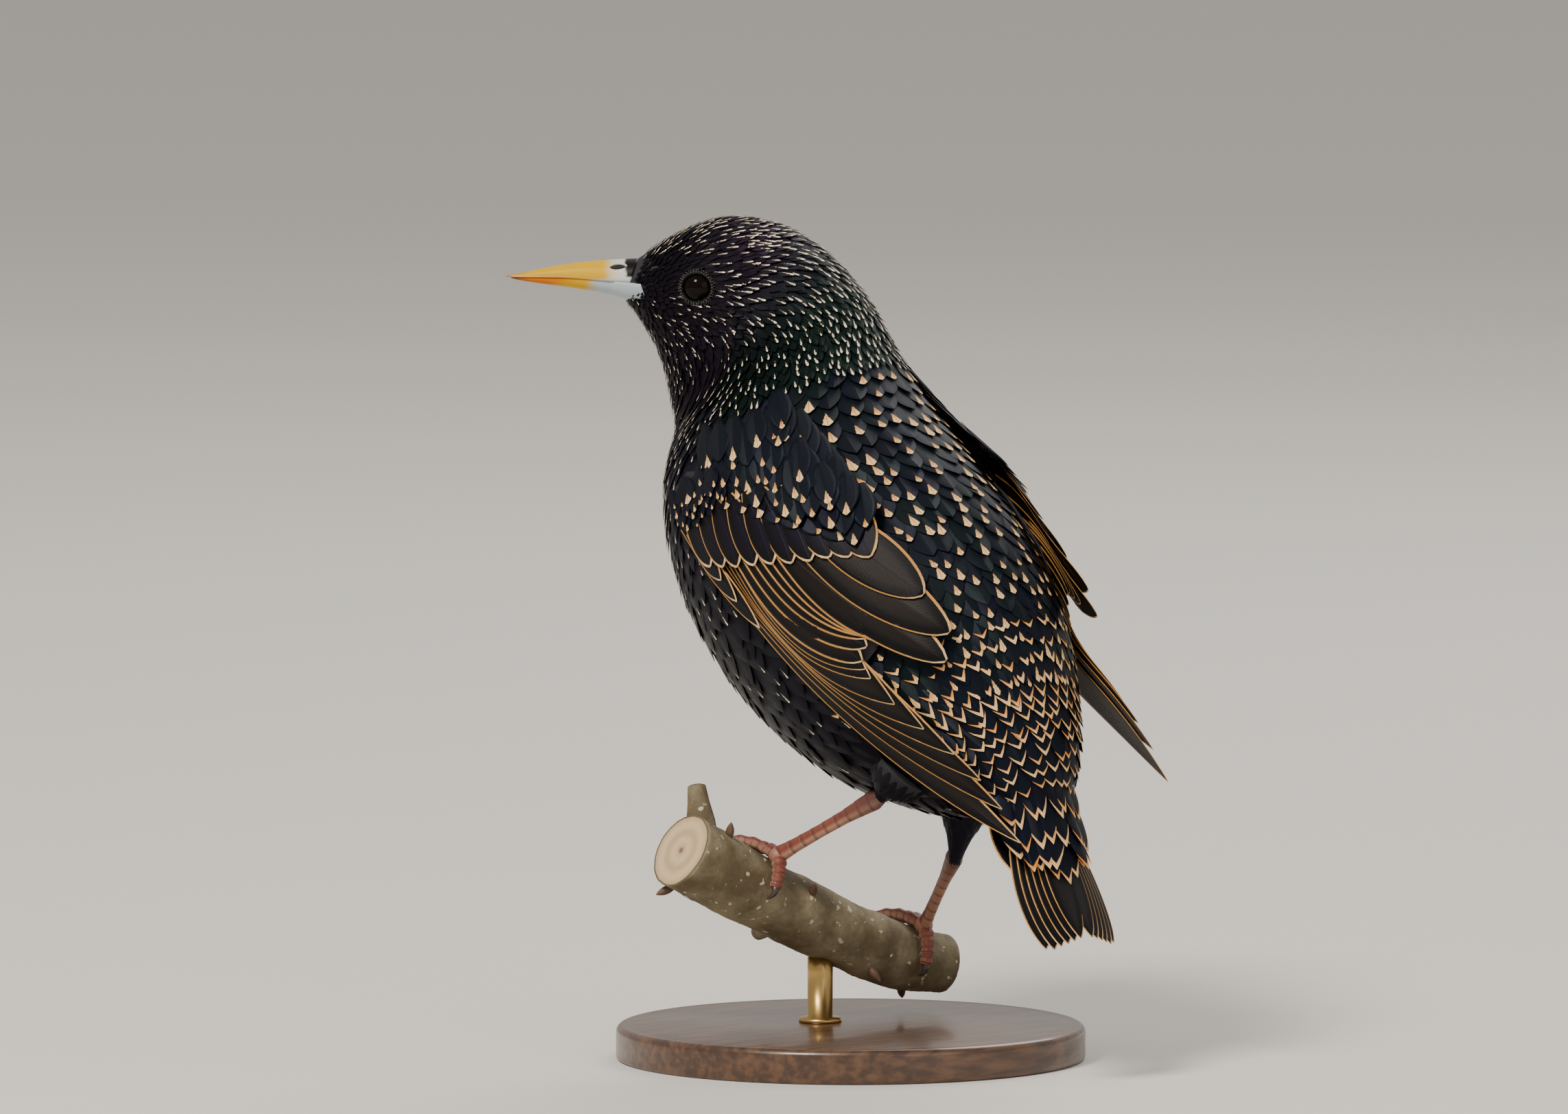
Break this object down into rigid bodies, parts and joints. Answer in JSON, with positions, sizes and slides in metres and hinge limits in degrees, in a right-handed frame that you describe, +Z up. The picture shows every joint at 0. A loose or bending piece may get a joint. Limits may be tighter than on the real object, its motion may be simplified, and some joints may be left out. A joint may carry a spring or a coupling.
{
  "type": "life-size bird model",
  "caption": "Life-size model of a European starling in winter plumage, looking back over its left side, gripping a short cut branch on a round wooden stand.",
  "frame": {"origin": "centre of the stand base's underside", "axes": "+Z up, the bird's breast towards -Y, its left side towards +X"},
  "size_m": [0.096, 0.1359, 0.1713],
  "materials": {
    "body_plumage": "black contour feathers with purple, green and blue gloss and buff tips",
    "flight_feathers": "dark brown vanes edged with golden buff",
    "eyes": "glossy, very dark brown",
    "bill": "smooth yellow horn with a blue-grey base",
    "bare_legs": "red-brown scaled skin",
    "claws": "dark horn",
    "bark": "olive-tan bark with pale pores, pale cut ends",
    "base_wood": "dark satin varnish",
    "rod_brass": "satin"
  },
  "bodies": {
    "root": {"torso": "body_plumage", "neck": "body_plumage", "head": "body_plumage", "eye_left": "eyes", "eye_right": "eyes", "bill_upper": "bill", "bill_lower": "bill", "wing_left": "flight_feathers", "wing_right": "flight_feathers", "tail": "flight_feathers", "thigh_left": "body_plumage", "tarsus_left": "bare_legs", "foot_left": "bare_legs", "claw_left_front": "claws", "claw_left_inner": "claws", "claw_left_outer": "claws", "claw_left_hind": "claws", "thigh_right": "body_plumage", "tarsus_right": "bare_legs", "foot_right": "bare_legs", "claw_right_front": "claws", "claw_right_inner": "claws", "claw_right_outer": "claws", "claw_right_hind": "claws", "perch": "bark", "stand_base": "base_wood", "stand_rod": "rod_brass"}
  },
  "joints": []
}
